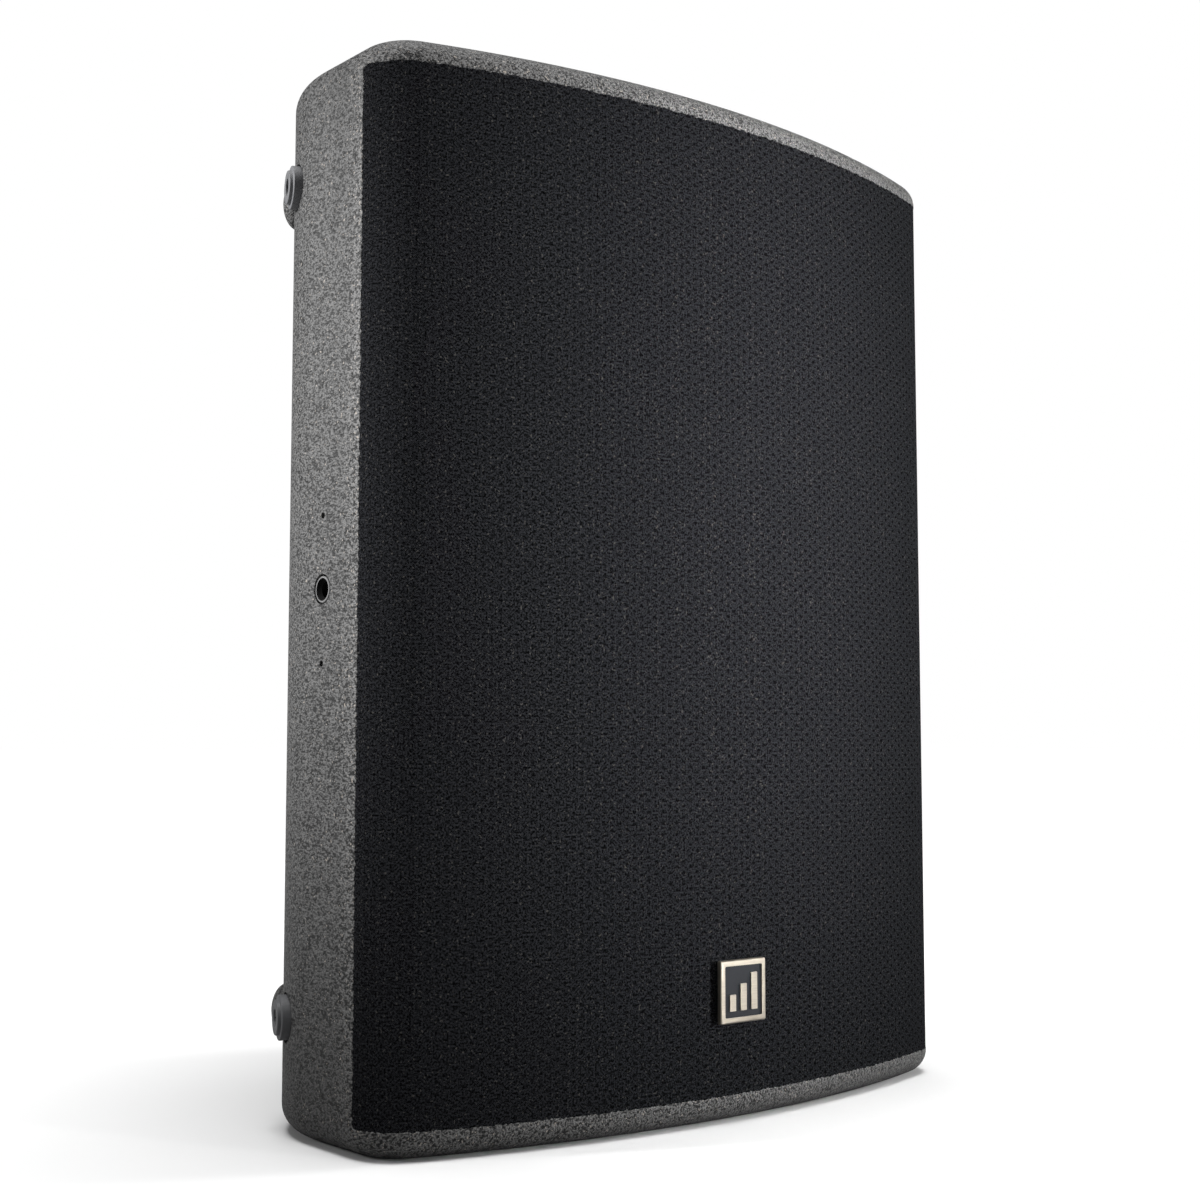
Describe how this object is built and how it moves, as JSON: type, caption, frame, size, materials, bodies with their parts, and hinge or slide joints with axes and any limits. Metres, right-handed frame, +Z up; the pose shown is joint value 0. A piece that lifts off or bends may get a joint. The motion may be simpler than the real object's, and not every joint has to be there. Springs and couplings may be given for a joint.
{
  "type": "stage monitor loudspeaker",
  "caption": "Two-way stage monitor loudspeaker: bowed cloth-covered grille, grey plywood cabinet with wedge rear faces, rear handle, sockets, side inserts and corner feet.",
  "frame": {"origin": "centre of the overall box at its lowest level, in the plane of the lower end panel's outer face", "axes": "+Z up along the cabinet, standing on one end; -Y out of the grille; +X to the right of someone who faces the grille"},
  "size_m": [0.443, 0.3182, 0.59],
  "materials": {
    "paint": "structured grey paint on plywood",
    "plywood": "bare birch plywood",
    "black_wood": "matte black paint on plywood",
    "cloth": "woven acoustic cloth",
    "grille_steel": "black powder-coated perforated steel",
    "badge_metal": "warm nickel plate, fine brushed face and bright bevel",
    "zinc": "zinc plated steel",
    "rubber": "matte moulded rubber",
    "plastic": "moulded black plastic",
    "painted_skid": "hard plastic, structured grey paint",
    "cone_paper": "coated paper pulp",
    "cast_aluminium": "as cast",
    "ferrite": "sintered",
    "copper_wire": "enamelled copper",
    "circuit_board": "solder-masked laminate",
    "capacitor_film": "wrapped film"
  },
  "bodies": {
    "cabinet": {"back_foot_lower_left": "rubber", "back_foot_lower_right": "rubber", "back_foot_upper_left": "rubber", "back_foot_upper_right": "rubber", "back_panel": "paint", "bass_inductor": "copper_wire", "brace_lower": "plywood", "brace_upper": "plywood", "connector_plate": "grille_steel", "crossover_board": "circuit_board", "crossover_capacitor_1": "capacitor_film", "crossover_capacitor_2": "capacitor_film", "driver_frame": "cast_aluminium", "driver_gasket": "rubber", "driver_spider": "cloth", "driver_surround": "rubber", "end_panel_lower": "paint", "end_panel_upper": "paint", "front_baffle": "black_wood", "grille_batten_left": "black_wood", "grille_batten_right": "black_wood", "grille_cloth": "cloth", "grille_sheet": "grille_steel", "handle_cup": "plastic", "handle_grip": "rubber", "input_socket": "plastic", "link_socket": "plastic", "magnet_back_plate": "zinc", "magnet_ring": "ferrite", "magnet_top_plate": "zinc", "port_tube_lower_left": "plastic", "port_tube_lower_right": "plastic", "port_tube_upper_left": "plastic", "port_tube_upper_right": "plastic", "rear_panel_left": "paint", "rear_panel_right": "paint", "side_foot_lower_left": "rubber", "side_foot_lower_right": "rubber", "side_foot_upper_left": "rubber", "side_foot_upper_right": "rubber", "side_insert_left": "zinc", "side_insert_right": "zinc", "side_panel_left": "paint", "side_panel_right": "paint", "skid_lower_left": "painted_skid", "skid_lower_right": "painted_skid", "skid_upper_left": "painted_skid", "skid_upper_right": "painted_skid", "treble_driver": "grille_steel", "treble_horn": "plastic", "treble_inductor": "copper_wire"},
    "cone": {"driver_cone": "cone_paper", "voice_coil": "copper_wire"},
    "badge": {"badge_plate": "badge_metal", "badge_stud": "zinc"}
  },
  "joints": [
    {"name": "cone_stroke", "type": "slide", "parent": "cabinet", "child": "cone", "axis": [0, -1, 0], "range_m": [-0.006, 0.006], "stiffness_N_per_m": 6700, "deforming": ["driver_surround", "driver_spider"]},
    {"name": "badge_turn", "type": "hinge", "parent": "cabinet", "child": "badge", "pos_m": [0, -0.15909, 0.0736], "axis": [0, -1, 0], "range_deg": [-90, 90]}
  ]
}
